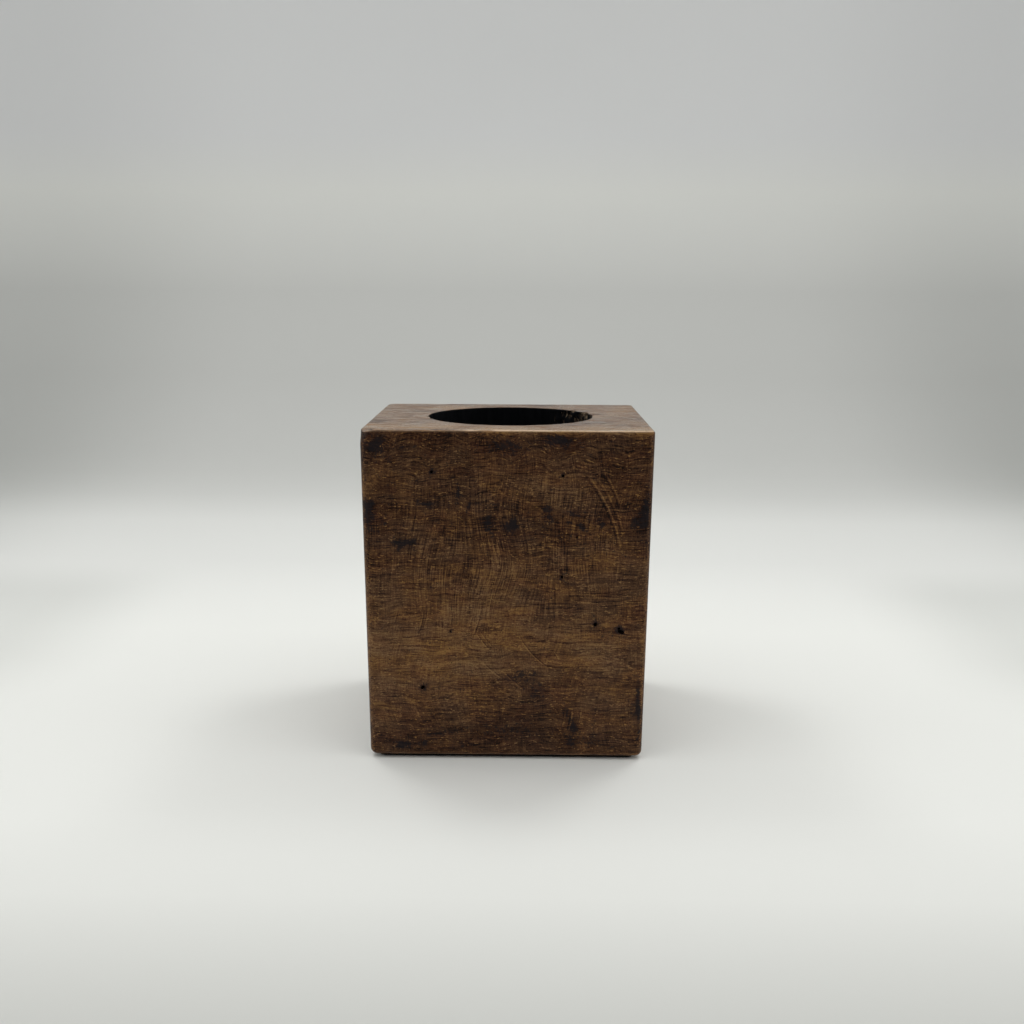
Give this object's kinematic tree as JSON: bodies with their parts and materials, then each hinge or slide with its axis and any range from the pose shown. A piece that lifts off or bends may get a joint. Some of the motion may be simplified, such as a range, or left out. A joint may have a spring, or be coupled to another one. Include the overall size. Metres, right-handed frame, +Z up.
{
  "type": "block candle holder",
  "caption": "Stained wood block candle holder with one wide round blind bore in its top and a thin black felt base.",
  "frame": {"origin": "middle of the base, on the surface that the holder stands on", "axes": "+Z up, along the bore and out of its mouth; +X to the right along the wood grain; +Y from the front face to the back face"},
  "size_m": [0.108, 0.0952, 0.127],
  "materials": {
    "stained_wood": "dark brown stain under satin wax, brushed and worn; the bore is coated matt black",
    "black_felt": "matt pressed felt"
  },
  "bodies": {
    "root": {"wood_block": "stained_wood", "base_felt": "black_felt"}
  },
  "joints": []
}
